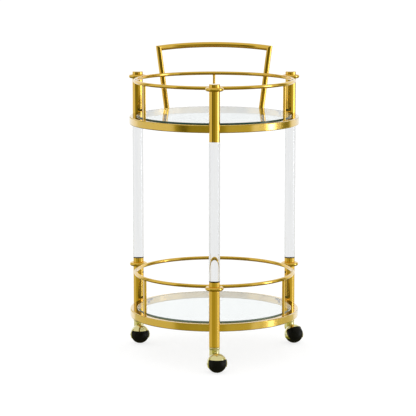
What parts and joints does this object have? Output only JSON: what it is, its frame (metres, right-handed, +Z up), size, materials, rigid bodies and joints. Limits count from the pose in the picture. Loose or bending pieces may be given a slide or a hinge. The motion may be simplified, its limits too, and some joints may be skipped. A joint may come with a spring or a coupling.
{
  "type": "bar cart on wheels",
  "caption": "Round bar cart with glass shelves in gold rings, gallery rails, clear rods between gold post tubes, a curved push handle and hooded ball casters.",
  "frame": {"origin": "on the floor, below the centre of the cart's bounding box at rest; the tiers' common axis is 6.9 mm towards -X and 18.6 mm towards +Y from it", "axes": "+Z up; -Y towards the front post; +Y towards the push handle; +X to the right when seen from the front"},
  "size_m": [0.4701, 0.5301, 0.805],
  "materials": {
    "gold": "mirror polished gold plate",
    "pale_gold": "mirror polished pale gold plate",
    "acrylic": "clear cast acrylic",
    "glass": "clear tempered float glass with a bevelled edge",
    "clear_pad": "clear soft pad",
    "rubber": "semi-matt black rubber",
    "hub_plastic": "black nylon",
    "black_steel": "black oxide",
    "zinc_steel": "bright zinc plate"
  },
  "bodies": {
    "cart_frame": {"acrylic_rod_front": "acrylic", "acrylic_rod_left": "acrylic", "acrylic_rod_right": "acrylic", "caster_collars": "pale_gold", "caster_sockets": "zinc_steel", "handle_grip": "gold", "handle_upright_left": "gold", "handle_upright_right": "gold", "lower_eyelet_front": "gold", "lower_eyelet_left": "gold", "lower_eyelet_right": "gold", "lower_glass": "glass", "lower_glass_pads": "clear_pad", "lower_glass_tabs": "gold", "lower_rail_hoop": "gold", "lower_rail_pin_back": "gold", "lower_rail_pin_left": "gold", "lower_rail_pin_right": "gold", "lower_ring": "gold", "lower_ring_bolts": "zinc_steel", "lower_tube_front": "gold", "lower_tube_left": "gold", "lower_tube_right": "gold", "post_nut_plugs": "zinc_steel", "rod_grub_screws": "black_steel", "top_cap_front": "gold", "top_cap_left": "gold", "top_cap_right": "gold", "top_eyelet_front": "gold", "top_eyelet_left": "gold", "top_eyelet_right": "gold", "top_glass": "glass", "top_glass_pads": "clear_pad", "top_glass_tabs": "gold", "top_rail_hoop": "gold", "top_rail_pin_back": "gold", "top_rail_pin_left": "gold", "top_rail_pin_right": "gold", "top_ring": "gold", "top_ring_bolts": "zinc_steel", "upper_tube_front": "gold", "upper_tube_left": "gold", "upper_tube_right": "gold"},
    "caster_front": {"caster_front_hood": "pale_gold", "caster_front_stem": "zinc_steel", "caster_front_axle": "zinc_steel"},
    "wheel_front": {"wheel_front_hub": "hub_plastic", "wheel_front_tread": "rubber"},
    "caster_right": {"caster_right_hood": "pale_gold", "caster_right_stem": "zinc_steel", "caster_right_axle": "zinc_steel"},
    "wheel_right": {"wheel_right_hub": "hub_plastic", "wheel_right_tread": "rubber"},
    "caster_left": {"caster_left_hood": "pale_gold", "caster_left_stem": "zinc_steel", "caster_left_axle": "zinc_steel"},
    "wheel_left": {"wheel_left_hub": "hub_plastic", "wheel_left_tread": "rubber"}
  },
  "joints": [
    {"name": "caster_front_swivel", "type": "hinge", "parent": "cart_frame", "child": "caster_front", "pos_m": [-0.0069, -0.2174, 0.07], "axis": [0, 0, 1], "continuous": true},
    {"name": "wheel_front_roll", "type": "hinge", "parent": "caster_front", "child": "wheel_front", "pos_m": [-0.00041, -0.2405, 0.0246], "axis": [0.9627, 0.2706, 0], "continuous": true},
    {"name": "caster_right_swivel", "type": "hinge", "parent": "cart_frame", "child": "caster_right", "pos_m": [0.19748, 0.1366, 0.07], "axis": [0, 0, 1], "continuous": true},
    {"name": "wheel_right_roll", "type": "hinge", "parent": "caster_right", "child": "wheel_right", "pos_m": [0.20948, 0.11582, 0.0246], "axis": [0.866, 0.5, 0], "continuous": true},
    {"name": "caster_left_swivel", "type": "hinge", "parent": "cart_frame", "child": "caster_left", "pos_m": [-0.21128, 0.1366, 0.07], "axis": [0, 0, 1], "continuous": true},
    {"name": "wheel_left_roll", "type": "hinge", "parent": "caster_left", "child": "wheel_left", "pos_m": [-0.20757, 0.11289, 0.0246], "axis": [0.988, 0.1547, 0], "continuous": true}
  ]
}
